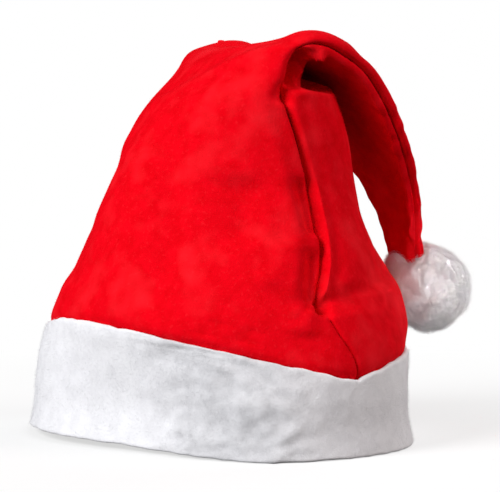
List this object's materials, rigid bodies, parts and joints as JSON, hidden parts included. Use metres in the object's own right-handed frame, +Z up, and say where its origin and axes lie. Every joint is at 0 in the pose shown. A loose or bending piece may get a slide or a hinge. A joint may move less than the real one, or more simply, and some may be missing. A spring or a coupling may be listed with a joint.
{
  "type": "santa hat",
  "caption": "Red felt santa hat with a deep white felt brim band; its pointed crown folds over backwards and ends in a white pompom.",
  "frame": {"origin": "middle of the hat's box, at the height of the rim that it stands on", "axes": "+Z up; -Y towards the front panel, the outside of the bend; +Y towards the side where the tail falls; +X and -X towards the two side seams"},
  "size_m": [0.2162, 0.2192, 0.1931],
  "materials": {
    "red_felt": "matte non-woven felt",
    "white_felt": "soft brushed felt",
    "white_fibre": "soft tufted yarn"
  },
  "bodies": {
    "root": {"crown_front_panel": "red_felt", "crown_back_panel": "red_felt", "brim_band": "white_felt", "pompom": "white_fibre"}
  },
  "joints": []
}
